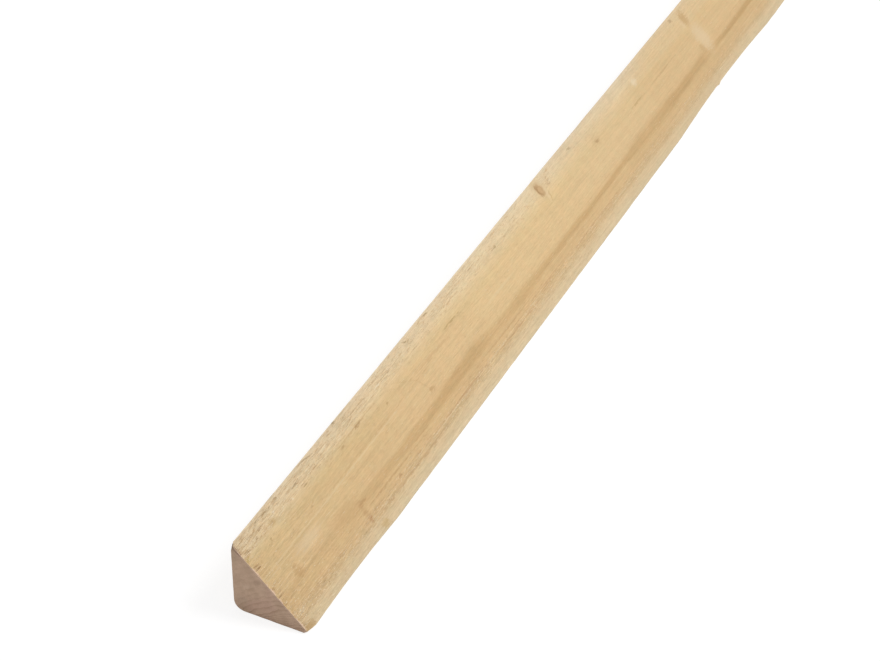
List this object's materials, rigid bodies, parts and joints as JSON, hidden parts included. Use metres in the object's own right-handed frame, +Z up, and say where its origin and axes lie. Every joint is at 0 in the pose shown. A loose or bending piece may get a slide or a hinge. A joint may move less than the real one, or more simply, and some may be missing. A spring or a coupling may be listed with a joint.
{
  "type": "triangular wood fillet",
  "caption": "Right-angled triangular length of softwood, ripped from a square batten, that fills the angle between a roof deck and an upstand.",
  "frame": {"origin": "on the floor, under the middle of the fillet's length and width", "axes": "+X along the length, away from the near end; +Y out of the upright planed face; +Z up, out of the deck that the lower planed face lies on"},
  "size_m": [2.4, 0.0478, 0.0478],
  "materials": {
    "sawn_softwood": "untreated pale whitewood, fine sawn on the sloping face and planed on the two square faces"
  },
  "bodies": {
    "root": {"fillet": "sawn_softwood"}
  },
  "joints": []
}
